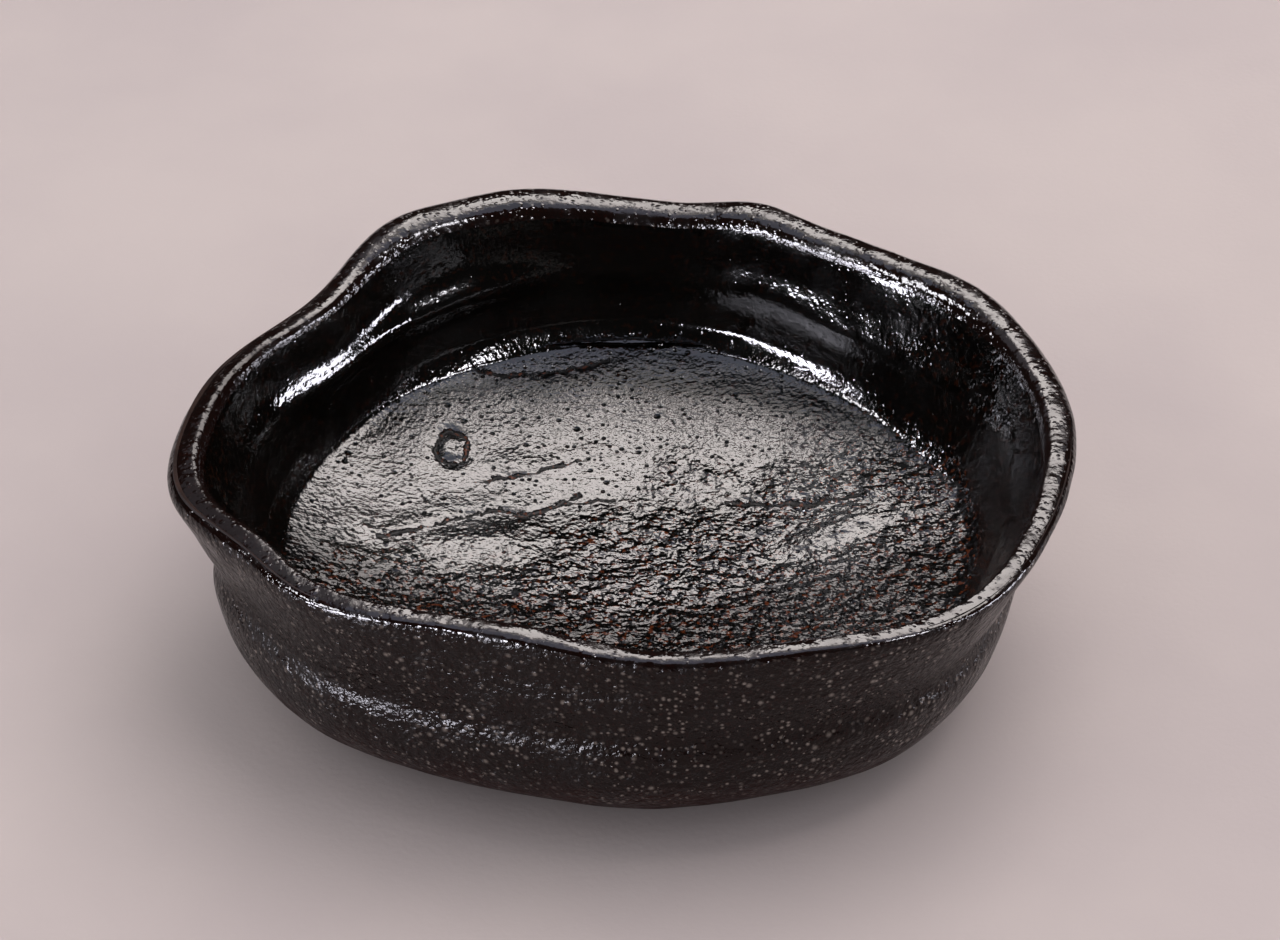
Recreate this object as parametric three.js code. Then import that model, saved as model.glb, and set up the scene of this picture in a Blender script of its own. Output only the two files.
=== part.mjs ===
// Tea bowl: low and wide, thrown in stoneware, pressed out of round by hand while soft, set on a coil foot
// and covered with a black iron glaze.
// Millimetres, +Z up. The origin is the middle of the bowl's plan, on the surface that it stands on.
// Bearings are in degrees, seen from above, from the right-hand end (+X) round by the back (+Y).

import * as THREE from "three";

// Rim, as it came off the wheel, before the hands pressed it
const RIM_LENGTH = 150;
const RIM_WIDTH = 126;
const RIM_HEIGHT = 47.4;
const LIP_WIDTH = 6;

// Outside of the wall: how far it draws in below the lip, down to the waist, and then tucks under
const WAIST_HEIGHT = 28;
const DRAW_IN = { right: 8, back: 3.5, left: 7, front: 1.5 };
const RIDGE = 0.45;
const BASE_TUCK = 6.5;

// Inside: how far the wall leans in below the lip, how wide a curve sweeps from it into the floor, and the
// floor, a shallow dish that is thinnest in the middle and rises to its edge
const LEAN_IN = { right: 7.5, back: 2.5, left: 8, front: 3 };
const FLOOR_SWEEP = { right: 2.5, back: 1.5, left: 2, front: 3.5 };
const FLOOR_THICKNESS = 10.6;
const FLOOR_RISE = 4.6;

// Foot: a coil of clay, luted on, a little oval, with a shallow hollow cut in the base inside it
const FOOT_LENGTH = 63;
const FOOT_WIDTH = 59;
const FOOT_HEIGHT = 6;
const FOOT_WALL = 6.5;
const FOOT_BEVEL = 1.2;
const FOOT_FLARE = 1;
const HOLLOW_DEPTH = 1.4;
const HOLLOW_MARGIN = 2;

// Glaze: its thickness, the clearance to the clay under it, the seam between the two pours, and the bare
// strip of clay that it stops short by above the base
const GLAZE = 0.9;
const CLEARANCE = 0.3;
const SEAM = 0.3;
const BARE_STRIP = 1.6;

// Where the soft wall was pressed in or drawn out. push moves it outwards at the lip and root at the base,
// and lift raises the rim, all in millimetres; swell thickens the lip by a share of its width. spread is the
// reach of the press in degrees.
const PRESSES = [
  { place: "right end", bearing: 0, spread: 26, push: 1.5, root: 1, lift: -0.7, swell: -0.08 },
  { place: "knuckle on the right", bearing: 27, spread: 7, push: 2, root: 1, lift: 0.4, swell: 0.27 },
  { place: "right shoulder", bearing: 40, spread: 26, push: -2.5, root: -2, lift: 1.1, swell: 0.2 },
  { place: "knuckle right of the back", bearing: 68, spread: 6, push: 2, root: 1.5, lift: 1.3, swell: 0.18 },
  { place: "crest of the back", bearing: 110, spread: 12, push: 2.5, root: 2, lift: 3.2, swell: 0.4 },
  { place: "step down from the crest", bearing: 129, spread: 7, push: 1.5, root: 1, lift: 2.2, swell: 0.25 },
  { place: "left shoulder", bearing: 154, spread: 12, push: -7, root: -1.5, lift: 0.6, swell: 0 },
  { place: "left end", bearing: 196, spread: 8, push: 4, root: 2.5, lift: -0.6, swell: 0.05 },
  { place: "heel below the left end", bearing: 212, spread: 12, push: 0, root: 3.8, lift: 0, swell: 0 },
  { place: "left front corner", bearing: 225, spread: 10, push: 3.5, root: 1.5, lift: -0.5, swell: -0.05 },
  { place: "flat left of the front", bearing: 238, spread: 24, push: -1, root: 0.5, lift: 0.5, swell: -0.22 },
  { place: "dip of the front lip", bearing: 277, spread: 12, push: 1, root: 1.5, lift: -2.5, swell: -0.15 },
  { place: "right front corner", bearing: 314, spread: 16, push: 7.5, root: 5, lift: -0.5, swell: -0.4 },
];

// How much of what the presses do at the base reaches the edge of the floor inside
const PRESS_AT_FLOOR = 0.75;

// How finely the bowl and its foot are divided round
const BOWL_STEPS = 72;
const FOOT_STEPS = 48;

const floorMiddle = FOOT_HEIGHT + FLOOR_THICKNESS;

const radians = THREE.MathUtils.degToRad;
const mix = THREE.MathUtils.lerp;

// What the presses add at a bearing, of the named effect
function pressed(bearing, effect) {
  return PRESSES.reduce((total, press) => {
    const away = ((bearing - press.bearing + 540) % 360) - 180;
    return total + press[effect] * Math.exp(-0.5 * (away / press.spread) ** 2);
  }, 0);
}

// A size that is given for the four sides, blended to the bearing between them
function sideways(sides, bearing) {
  const along = Math.cos(radians(bearing));
  const across = Math.sin(radians(bearing));
  const lengthwise = along > 0 ? sides.right : sides.left;
  const crosswise = across > 0 ? sides.back : sides.front;
  return lengthwise * along ** 2 + crosswise * across ** 2;
}

// Reach of an oval at a bearing
function ovalReach(length, width, bearing) {
  return 1 / Math.hypot(Math.cos(radians(bearing)) / (length / 2), Math.sin(radians(bearing)) / (width / 2));
}

// The bowl's reach at a bearing, before anything draws in: rise is 1 at the lip and 0 at the base
function bowlReach(bearing, rise) {
  const press = mix(pressed(bearing, "root"), pressed(bearing, "push"), rise);
  return ovalReach(RIM_LENGTH, RIM_WIDTH, bearing) + press;
}

// A point of a section, as reach from the middle and height
const at = (reach, height) => new THREE.Vector2(reach, height);

// The lip from its outer edge to its inner edge: a round back, highest a third of the way in
function lipLine(bearing) {
  const reach = bowlReach(bearing, 1);
  const top = RIM_HEIGHT + pressed(bearing, "lift");
  const width = LIP_WIDTH * (1 + pressed(bearing, "swell"));
  return [
    at(reach, top - 0.3 * width),
    at(reach - 0.26 * width, top),
    at(reach - 0.72 * width, top - 0.04 * width),
    at(reach - width, top - 0.3 * width),
  ];
}

// The outside from the edge of the glaze above the base, up over the throwing ridges, to just under the lip
function outsideLine(bearing, lipEdge) {
  const drawIn = sideways(DRAW_IN, bearing);
  const base = FOOT_HEIGHT + BARE_STRIP;
  const point = (height, inset) => {
    return at(bowlReach(bearing, (height - base) / (lipEdge.y - base)) - inset, height);
  };
  const below = (share) => mix(base, WAIST_HEIGHT, share);
  const above = (share) => mix(WAIST_HEIGHT, lipEdge.y, share);
  return [
    point(base, drawIn + BASE_TUCK),
    point(below(0.18), drawIn + 0.42 * BASE_TUCK),
    point(below(0.42), drawIn + 0.04 * BASE_TUCK),
    point(below(0.63), 0.94 * drawIn),
    point(below(0.83), 0.96 * drawIn - RIDGE / 2),
    point(WAIST_HEIGHT, drawIn + RIDGE / 2),
    point(above(0.32), 0.74 * drawIn - RIDGE),
    point(above(0.62), 0.34 * drawIn),
  ];
}

// The inside from just below the lip, down the wall and round into the floor
function insideLine(bearing, lipEdge) {
  const lean = sideways(LEAN_IN, bearing);
  const sweep = sideways(FLOOR_SWEEP, bearing);
  const floorEdge = floorMiddle + FLOOR_RISE;
  const lip = bowlReach(bearing, 1) - lipEdge.x;
  const lostPress = (1 - PRESS_AT_FLOOR) * pressed(bearing, "root");
  const point = (depth, leanShare, sweepShare) => {
    const inset = lip + lean * leanShare + sweep * sweepShare + depth * lostPress;
    return at(bowlReach(bearing, 1 - depth) - inset, mix(lipEdge.y, floorEdge, depth));
  };
  const edge = point(1, 1, 1);
  const onFloor = (share) => at(edge.x * share, floorMiddle + FLOOR_RISE * share ** 2);
  return [
    point(0.22, 0.32, 0),
    point(0.44, 0.66, 0),
    point(0.62, 0.88, 0.03),
    point(0.79, 1, 0.15),
    point(0.92, 1, 0.45),
    edge,
    onFloor(0.62),
    onFloor(0.3),
  ];
}

// The same line moved into the wall by a depth, square to itself in its own section
function sunk(line, depth) {
  return line.map((point, index) => {
    const before = line[Math.max(index - 1, 0)];
    const after = line[Math.min(index + 1, line.length - 1)];
    const along = after.clone().sub(before).normalize();
    return at(point.x - along.y * depth, point.y + along.x * depth);
  });
}

// The bowl's surface at a bearing, sunk by a depth: the outside up to the lip's inner edge, then the inside
function section(bearing, depth) {
  const lip = lipLine(bearing);
  const outside = [...outsideLine(bearing, lip[0]), ...lip];
  const inside = insideLine(bearing, lip[lip.length - 1]);
  const line = sunk([...outside, ...inside], depth);
  return { outside: line.slice(0, outside.length), inside: line.slice(outside.length) };
}

// The inside of a section from the seam between the two pours, which runs just below the lip's inner edge
function belowSeam({ outside, inside }) {
  const edge = outside[outside.length - 1];
  const seam = inside[0].clone().sub(edge).setLength(SEAM).add(edge);
  return [seam, ...inside];
}

// One ring of points round the bowl for each point of the sections, with a lone point as a ring that closes
function ringsOf(steps, lineAt) {
  const lines = Array.from({ length: steps }, (_, step) => lineAt((360 * step) / steps));
  return lines[0].map((_, station) =>
    lines.map((line, step) => {
      const turn = radians((360 * step) / steps);
      const point = line[station];
      return new THREE.Vector3(point.x * Math.cos(turn), point.x * Math.sin(turn), point.y);
    }),
  );
}

// The closed surface over rings that go round a section anticlockwise: either from one pole on the axis to
// another, or back to the first ring
function ringSolid(rings) {
  const starts = [];
  const positions = [];
  for (const ring of rings) {
    starts.push(positions.length / 3);
    ring.forEach((point) => positions.push(point.x, point.y, point.z));
  }
  const index = [];
  const join = (lower, upper) => {
    const steps = Math.max(rings[lower].length, rings[upper].length);
    const corner = (ring, step) => starts[ring] + (step % rings[ring].length);
    for (let step = 0; step < steps; step += 1) {
      const [a, b] = [corner(lower, step), corner(lower, step + 1)];
      const [c, d] = [corner(upper, step + 1), corner(upper, step)];
      if (a !== b) {
        index.push(a, b, c);
      }
      if (c !== d) {
        index.push(a, c, d);
      }
    }
  };
  for (let ring = 1; ring < rings.length; ring += 1) {
    join(ring - 1, ring);
  }
  if (rings[0].length > 1) {
    join(rings.length - 1, 0);
  }
  const geometry = new THREE.BufferGeometry();
  geometry.setAttribute("position", new THREE.Float32BufferAttribute(positions, 3));
  geometry.setIndex(index);
  geometry.computeVertexNormals();
  return geometry;
}

const pole = (height) => [new THREE.Vector3(0, 0, height)];

// Outer reach of the foot, which the fingers left slightly uneven
function footReach(bearing) {
  const unevenness = 0.5 * Math.cos(radians(3 * bearing + 40)) + 0.3 * Math.cos(radians(5 * bearing));
  return ovalReach(FOOT_LENGTH, FOOT_WIDTH, bearing) + unevenness;
}

// Thrown wall and floor, flat underneath where the foot is luted on
function clayBody() {
  const depth = GLAZE + CLEARANCE;
  const hollowReach = (bearing) => footReach(bearing) - FOOT_WALL - FOOT_FLARE - HOLLOW_MARGIN;
  const rings = ringsOf(BOWL_STEPS, (bearing) => {
    const { outside, inside } = section(bearing, depth);
    return [
      at(hollowReach(bearing) * 0.7, FOOT_HEIGHT + HOLLOW_DEPTH),
      at(hollowReach(bearing), FOOT_HEIGHT),
      at(outside[0].x - BARE_STRIP, FOOT_HEIGHT),
      ...outside,
      ...inside,
    ];
  });
  return ringSolid([pole(FOOT_HEIGHT + HOLLOW_DEPTH * 0.6), ...rings, pole(floorMiddle - depth)]);
}

// First pour: the floor and the inner wall, up to the lip
function insideGlaze() {
  const rings = ringsOf(BOWL_STEPS, (bearing) => [
    ...belowSeam(section(bearing, GLAZE)).reverse(),
    ...belowSeam(section(bearing, 0)),
  ]);
  return ringSolid([pole(floorMiddle - GLAZE), ...rings, pole(floorMiddle)]);
}

// Second pour: the outer wall and over the lip
function outsideGlaze() {
  return ringSolid(
    ringsOf(BOWL_STEPS, (bearing) => [
      ...section(bearing, 0).outside,
      ...section(bearing, GLAZE).outside.reverse(),
    ]),
  );
}

// The coil: flat on top against the base, flared into it, waisted, and bevelled where it stands
function footRing() {
  return ringSolid(
    ringsOf(FOOT_STEPS, (bearing) => {
      const outer = footReach(bearing);
      const inner = outer - FOOT_WALL;
      const waist = FOOT_HEIGHT * 0.6;
      return [
        at(inner + FOOT_BEVEL, 0),
        at(outer - FOOT_BEVEL, 0),
        at(outer, FOOT_BEVEL),
        at(outer - FOOT_FLARE / 2, waist),
        at(outer + FOOT_FLARE, FOOT_HEIGHT),
        at(inner - FOOT_FLARE, FOOT_HEIGHT),
        at(inner + FOOT_FLARE / 2, waist),
        at(inner, FOOT_BEVEL),
      ];
    }),
  );
}

function part(name, geometry, material) {
  const mesh = new THREE.Mesh(geometry, new THREE.MeshStandardMaterial(material));
  mesh.name = name;
  return mesh;
}

const firedClay = { color: 0x4a3428, roughness: 0.85, metalness: 0 };

const bowl = new THREE.Group();
bowl.add(
  part("clay_body", clayBody(), firedClay),
  part("foot_ring", footRing(), firedClay),
  part("inside_glaze", insideGlaze(), { color: 0x0d0b0a, roughness: 0.2, metalness: 0 }),
  part("outside_glaze", outsideGlaze(), { color: 0x15100d, roughness: 0.35, metalness: 0 }),
);

// The plan is centred on the origin
const middle = new THREE.Box3().setFromObject(bowl, true).getCenter(new THREE.Vector3());
bowl.position.set(-middle.x, -middle.y, 0);

export default new THREE.Group().add(bowl);
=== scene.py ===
"""A tea bowl: the looks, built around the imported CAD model.

Low and wide, and pressed out of round by hand, on a coil foot of bare stoneware. Its black iron glaze is
glossy and pitted inside, and satin and speckled outside.
"""

import logging
import math
from collections.abc import Callable
from dataclasses import dataclass
from enum import Enum
from functools import reduce

import bmesh
import bpy
import numpy as np
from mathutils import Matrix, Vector, noise
from mathutils.bvhtree import BVHTree


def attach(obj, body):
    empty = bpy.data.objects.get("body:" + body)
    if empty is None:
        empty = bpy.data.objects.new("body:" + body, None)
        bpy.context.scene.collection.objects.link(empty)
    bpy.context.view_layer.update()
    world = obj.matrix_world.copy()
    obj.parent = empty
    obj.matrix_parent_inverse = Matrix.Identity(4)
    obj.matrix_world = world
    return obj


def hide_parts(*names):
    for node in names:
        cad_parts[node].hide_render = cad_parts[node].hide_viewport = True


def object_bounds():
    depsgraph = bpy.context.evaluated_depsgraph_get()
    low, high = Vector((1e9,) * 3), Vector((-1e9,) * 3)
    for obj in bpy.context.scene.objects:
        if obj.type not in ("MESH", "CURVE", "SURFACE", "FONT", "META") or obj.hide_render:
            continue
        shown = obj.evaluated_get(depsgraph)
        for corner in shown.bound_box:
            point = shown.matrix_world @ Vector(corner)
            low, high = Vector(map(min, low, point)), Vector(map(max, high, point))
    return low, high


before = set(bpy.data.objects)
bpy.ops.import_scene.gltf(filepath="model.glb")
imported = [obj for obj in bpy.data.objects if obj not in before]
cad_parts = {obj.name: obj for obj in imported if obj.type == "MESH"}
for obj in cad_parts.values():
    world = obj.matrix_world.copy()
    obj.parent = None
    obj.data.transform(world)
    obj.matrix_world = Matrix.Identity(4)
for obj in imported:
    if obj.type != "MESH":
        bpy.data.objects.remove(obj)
cad_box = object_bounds()

Point = tuple[float, float]
Size = tuple[float, float, float]
Socket = bpy.types.NodeSocket

# How far apart the places for spots are and the largest spot's radius, in millimetres, and the share of the
# places that have one
Scatter = tuple[float, float, float]

MM = 0.001

# The heights, in millimetres, between which the floor passes into the wall
FLOOR_ENDS = (22.0, 27.0)

# The floor's glaze turns from calm to wrinkled between these distances, in millimetres, towards the front
# and, by the slant, to the right
WRINKLED_FROM = -22.0
WRINKLED_BY = 6.0
WRINKLED_SLANT = 0.36

log = logging.getLogger("tea_bowl")


class Slot(Enum):
    """The record's material slots."""

    CLAY = "fired_stoneware"
    INSIDE = "inside_iron_glaze"
    OUTSIDE = "outside_iron_glaze"


# Materials: helpers


def linear(colour: str) -> tuple[float, float, float, float]:
    """Turns an sRGB hex colour to linear light.

    Args:
        colour: The colour, as #rrggbb.

    Returns:
        Red, green, blue and a full alpha.
    """
    channels = [int(colour[start : start + 2], 16) / 255 for start in (1, 3, 5)]
    red, green, blue = (c / 12.92 if c <= 0.04045 else ((c + 0.055) / 1.055) ** 2.4 for c in channels)
    return red, green, blue, 1.0


def every(size: float) -> float:
    """The scale of a texture whose pattern repeats about every so many millimetres."""
    return 1 / (size * MM)


def add_node(
    tree: bpy.types.NodeTree, kind: str, inputs: dict | None = None, **settings: object
) -> bpy.types.Node:
    """Adds a node with its settings, its values and what feeds it.

    Args:
        tree: The node tree that it goes in.
        kind: The node's type.
        inputs: For a socket's name or number, its value or the output that is linked to it.
        **settings: The node's own settings.

    Returns:
        The node.
    """
    node = tree.nodes.new(kind)
    for name, value in settings.items():
        setattr(node, name, value)
    for socket, value in (inputs or {}).items():
        if isinstance(value, Socket):
            tree.links.new(value, node.inputs[socket])
        else:
            node.inputs[socket].default_value = value
    return node


@dataclass
class Sheet:
    """A material's node tree, with the few sums that the glazes share."""

    tree: bpy.types.NodeTree

    @staticmethod
    def new(name: str) -> tuple[bpy.types.Material, "Sheet"]:
        """Makes an empty material and the sheet that its nodes go on.

        Args:
            name: The material's name.

        Returns:
            The material and the sheet.
        """
        material = bpy.data.materials.new(name)
        material.use_nodes = True
        material.node_tree.nodes.clear()
        return material, Sheet(material.node_tree)

    def place(self, stretch: Size = (1, 1, 1)) -> Socket:
        """The place on the object.

        Args:
            stretch: How many times the pattern is drawn out along each axis.

        Returns:
            The place, in metres.
        """
        where = add_node(self.tree, "ShaderNodeTexCoord").outputs["Object"]
        if stretch == (1, 1, 1):
            return where
        scale = tuple(1 / factor for factor in stretch)
        return add_node(self.tree, "ShaderNodeMapping", {"Vector": where, "Scale": scale}).outputs[0]

    def parts(self, vector: Socket) -> list[Socket]:
        """A vector's three numbers."""
        return list(add_node(self.tree, "ShaderNodeSeparateXYZ", {0: vector}).outputs)

    def sum(self, operation: str, *values: object) -> Socket:
        """The result of a Math node on these values."""
        inputs = dict(enumerate(values))
        return add_node(self.tree, "ShaderNodeMath", inputs, operation=operation).outputs[0]

    def scaled(self, value: object, by: object, plus: object) -> Socket:
        """The value multiplied by the one, plus the other."""
        return self.sum("MULTIPLY_ADD", value, by, plus)

    def product(self, *values: object) -> Socket:
        """These values multiplied together."""
        return reduce(lambda first, second: self.sum("MULTIPLY", first, second), values)

    def least(self, *values: object) -> Socket:
        """The smallest of these values."""
        return reduce(lambda first, second: self.sum("MINIMUM", first, second), values)

    def most(self, first: object, second: object) -> Socket:
        """The larger of two values."""
        return self.sum("MAXIMUM", first, second)

    def vector(self, operation: str, *values: object, **named: object) -> bpy.types.Node:
        """A Vector Math node on these values."""
        inputs = {**dict(enumerate(values)), **named}
        return add_node(self.tree, "ShaderNodeVectorMath", inputs, operation=operation)

    def strayed(self, size: float, by: float) -> Socket:
        """The place on the object as seen from above, put off at random.

        Args:
            size: The size of the waver, in millimetres.
            by: How far it goes, in millimetres.

        Returns:
            The place, in metres.
        """
        inputs = {"Vector": self.place(), "Scale": every(size), "Detail": 4, "Roughness": 0.7}
        stray = add_node(self.tree, "ShaderNodeTexNoise", inputs).outputs["Color"]
        centred = self.vector("SUBTRACT", stray, (0.5, 0.5, 0.5)).outputs[0]
        moved = self.vector("MULTIPLY_ADD", centred, (by * MM, by * MM, 0), self.place()).outputs[0]
        return self.vector("MULTIPLY", moved, (1, 1, 0)).outputs[0]

    def from_segment(self, where: Socket, start: Point, end: Point) -> Socket:
        """How far a place is from a segment.

        Args:
            where: The place.
            start: Where the segment starts in the plan, in millimetres.
            end: Where it ends.

        Returns:
            The distance, in metres.
        """
        along = Vector((end[0] - start[0], end[1] - start[1], 0)) * MM
        offset = self.vector("SUBTRACT", where, (start[0] * MM, start[1] * MM, 0)).outputs[0]
        run = self.vector("DOT_PRODUCT", offset, tuple(along / along.length_squared)).outputs["Value"]
        share = add_node(self.tree, "ShaderNodeClamp", {"Value": run}).outputs[0]
        foot = self.vector("SCALE", tuple(along), Scale=share).outputs[0]
        return self.vector("DISTANCE", offset, foot).outputs["Value"]

    def from_ring(self, where: Socket, middle: Point, radius: Point) -> Socket:
        """How far a place is from an oval ring.

        Args:
            where: The place.
            middle: The ring's middle in the plan, in millimetres.
            radius: Half its two widths.

        Returns:
            The distance, in metres.
        """
        offset = self.vector("SUBTRACT", where, (middle[0] * MM, middle[1] * MM, 0)).outputs[0]
        shares = (every(radius[0]), every(radius[1]), 0)
        reach = self.vector("LENGTH", self.vector("MULTIPLY", offset, shares).outputs[0]).outputs["Value"]
        return self.product(self.sum("ABSOLUTE", self.sum("SUBTRACT", reach, 1)), min(radius) * MM)

    def cloud(self, size: float, detail: float = 2, stretch: Size = (1, 1, 1)) -> Socket:
        """Noise from 0 to 1 with features of about this size in millimetres."""
        inputs = {"Vector": self.place(stretch), "Scale": every(size), "Detail": detail}
        return add_node(self.tree, "ShaderNodeTexNoise", inputs).outputs["Fac"]

    def ramp(self, value: Socket, low: float, high: float, to: tuple[object, object] = (0, 1)) -> Socket:
        """The value eased from one number to another.

        Args:
            value: The value.
            low: Where it starts to pass over.
            high: Where it has passed over.
            to: What it is up to low, and from high.

        Returns:
            The eased value.
        """
        inputs = {"Value": value, "From Min": low, "From Max": high, "To Min": to[0], "To Max": to[1]}
        node = add_node(self.tree, "ShaderNodeMapRange", inputs, interpolation_type="SMOOTHSTEP")
        return node.outputs[0]

    def mix(self, share: Socket, first: object, second: object) -> Socket:
        """One colour passing into another."""
        inputs = {"Factor": share, 6: first, 7: second}
        return add_node(self.tree, "ShaderNodeMix", inputs, data_type="RGBA").outputs[2]

    def spots(self, apart: float, radius: float, share: float) -> Socket:
        """Round spots, 1 in the middle and 0 at the edge.

        Args:
            apart: How far apart the cells are that may hold one, in millimetres.
            radius: The largest spot's radius, in millimetres.
            share: The share of the cells that hold one.

        Returns:
            The spots.
        """
        cells = {"Vector": self.place(), "Scale": every(apart), "Randomness": 1.0}
        voronoi = add_node(self.tree, "ShaderNodeTexVoronoi", cells)
        chosen = add_node(self.tree, "ShaderNodeSeparateColor", {0: voronoi.outputs["Color"]})
        reach = self.product(self.ramp(chosen.outputs[0], 1 - share, 1, (0.35, 1)), radius / apart)
        inside = self.sum("SUBTRACT", 1, self.sum("DIVIDE", voronoi.outputs["Distance"], reach))
        kept = self.sum("GREATER_THAN", chosen.outputs[0], 1 - share)
        return self.product(self.most(inside, 0), kept)

    def finish(self, height: Socket, **surface: object) -> None:
        """Ends the tree in one Principled shader.

        Args:
            height: Relief in millimetres.
            **surface: The shader's own sockets, with spaces written as underscores.
        """
        bump = add_node(self.tree, "ShaderNodeBump", {"Height": height, "Distance": MM, "Strength": 1.0})
        inputs = {name.replace("_", " "): value for name, value in surface.items()}
        inputs["Normal"] = bump.outputs[0]
        shader = add_node(self.tree, "ShaderNodeBsdfPrincipled", inputs)
        add_node(self.tree, "ShaderNodeOutputMaterial", {"Surface": shader.outputs[0]})


# Materials: the finishes


@dataclass(frozen=True)
class InsideGlaze:
    """Black iron (tenmoku) glaze, poured thick and fired glossy.

    The eye gets a near-black mirror. Burst bubbles dot the far half of the floor. The near half is wrinkled
    and beaded like leather and flecked with rust on its ridges, and its reflection is turned down towards
    its front edge as painted shade from the near wall. Sizes, heights and depths are in millimetres.
    """

    body: str = "#050403"
    rust: str = "#5c2c14"
    calm: tuple[tuple[Point, Point], ...] = (((-31, -5), (-15, -2)), ((29, -2), (44, 5)))
    stray: float = 50.0
    grain: float = 2.6
    grain_height: float = 0.95
    beads: Scatter = (1.7, 0.95, 0.9)
    bead_height: float = 0.4
    skin: float = 0.9
    skin_height: float = 0.1
    small_pits: Scatter = (1.3, 0.45, 0.8)
    large_pits: Scatter = (2.9, 0.7, 0.55)
    pit_depth: float = 0.25
    fold_width: float = 0.5
    fold_depth: float = 0.55
    # Where the floor's reflection starts and stops fading towards its front edge, as painted shade from the
    # near wall
    near_shade_from: float = 15.0
    near_shade_by: float = 26.0
    gloss: float = 0.5
    # How much reflection that painted shade of the near wall takes away
    near_shade_depth: float = 0.3

    def folds(self, sheet: Sheet) -> Socket:
        """Draws the floor's ragged folds, along the marks that are modelled there.

        Args:
            sheet: The material's sheet.

        Returns:
            1 in the middle of a fold and 0 away from them all.
        """
        where = sheet.strayed(3.2, 3.4)
        reaches = []
        for mark in FLOOR_MARKS:
            if isinstance(mark, Crease):
                pairs = zip(mark.line, mark.line[1:])
                reaches += [sheet.from_segment(where, start, end) for start, end in pairs]
            elif isinstance(mark, RingScar):
                reaches.append(sheet.from_ring(where, mark.place, mark.radius))
        widths = (0.35 * self.fold_width * MM, 1.3 * self.fold_width * MM)
        width = sheet.ramp(sheet.cloud(3.2, 2), 0.35, 0.6, widths)
        shares = sheet.sum("DIVIDE", sheet.least(*reaches), width)
        return sheet.most(sheet.sum("SUBTRACT", 1, shares), 0)

    def wrinkled(self, sheet: Sheet, right: Socket, towards_front: Socket) -> Socket:
        """Parts the floor in a calm far half and a wrinkled near half, with a few calm patches in it.

        Args:
            sheet: The material's sheet.
            right: How far right a place is, in metres.
            towards_front: How far towards the front it is.

        Returns:
            1 where the glaze is wrinkled and 0 where it is calm.
        """
        toward = sheet.scaled(right, WRINKLED_SLANT, towards_front)
        centred = sheet.sum("ADD", toward, -self.stray / 2 * MM)
        drift = sheet.scaled(sheet.cloud(16, 3), self.stray * MM, centred)
        near_half = sheet.ramp(drift, WRINKLED_FROM * MM, WRINKLED_BY * MM)
        where = sheet.strayed(7, 4)
        away = sheet.least(*(sheet.from_segment(where, *line) for line in self.calm))
        return sheet.product(near_half, sheet.ramp(away, 2 * MM, 7 * MM, (0.3, 1)))

    def material(self) -> bpy.types.Material:
        """Makes the material.

        Returns:
            The material, with its node tree.
        """
        material, sheet = Sheet.new("black_iron_glaze_poured_glossy")
        right, back, up = sheet.parts(sheet.place())
        towards_front = sheet.product(back, -1)
        on_floor = sheet.ramp(up, 22 * MM, 28 * MM, (1, 0.15))
        wrinkled = self.wrinkled(sheet, right, towards_front)
        calm = sheet.product(sheet.sum("SUBTRACT", 1, wrinkled), on_floor)
        rippled = sheet.product(wrinkled, on_floor)
        folds = sheet.product(self.folds(sheet), on_floor)
        burst = sheet.product(sheet.most(sheet.spots(*self.small_pits), sheet.spots(*self.large_pits)), calm)

        creased = sheet.scaled(rippled, self.grain_height, 0.1)
        ripples = sheet.product(sheet.cloud(self.grain, 2.2, (1.1, 1, 1)), creased)
        beads = sheet.product(sheet.spots(*self.beads), rippled, self.bead_height)
        leathery = sheet.scaled(on_floor, self.skin_height, 0.04)
        coarse = sheet.sum("ADD", ripples, beads)
        raised = sheet.scaled(sheet.cloud(self.skin, 2), leathery, coarse)
        pitted = sheet.scaled(burst, -self.pit_depth, raised)
        height = sheet.scaled(sheet.ramp(folds, 0, 0.8), -self.fold_depth, pitted)

        flecks = sheet.ramp(sheet.cloud(0.9, 3), 0.56, 0.66)
        iron = sheet.most(sheet.scaled(rippled, 0.8, 0.1), sheet.ramp(folds, 0, 0.4))
        colour = sheet.mix(sheet.product(flecks, iron), linear(self.body), linear(self.rust))
        smear = sheet.ramp(sheet.cloud(5, 3), 0.35, 0.7, (0.06, 0.13))
        roughness = sheet.scaled(sheet.ramp(folds, 0.1, 0.7), 0.4, smear)

        # Painted shade of the near wall: the floor's reflection is turned down towards its front edge
        to_edge = sheet.scaled(sheet.sum("ABSOLUTE", right), 0.35, towards_front)
        near_shade_ramp = sheet.ramp(to_edge, self.near_shade_from * MM, self.near_shade_by * MM, (0, self.near_shade_depth))
        near_shade_on_floor = sheet.product(near_shade_ramp, on_floor)
        shadowed = sheet.most(sheet.ramp(burst, 0, 0.5), sheet.ramp(folds, 0.05, 0.5))
        mirror = sheet.sum("SUBTRACT", sheet.scaled(shadowed, -0.3, self.gloss), near_shade_on_floor)
        surface = {"Base_Color": colour, "Roughness": roughness, "IOR": 1.55, "Specular_IOR_Level": mirror}
        sheet.finish(height, **surface)
        return material


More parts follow.
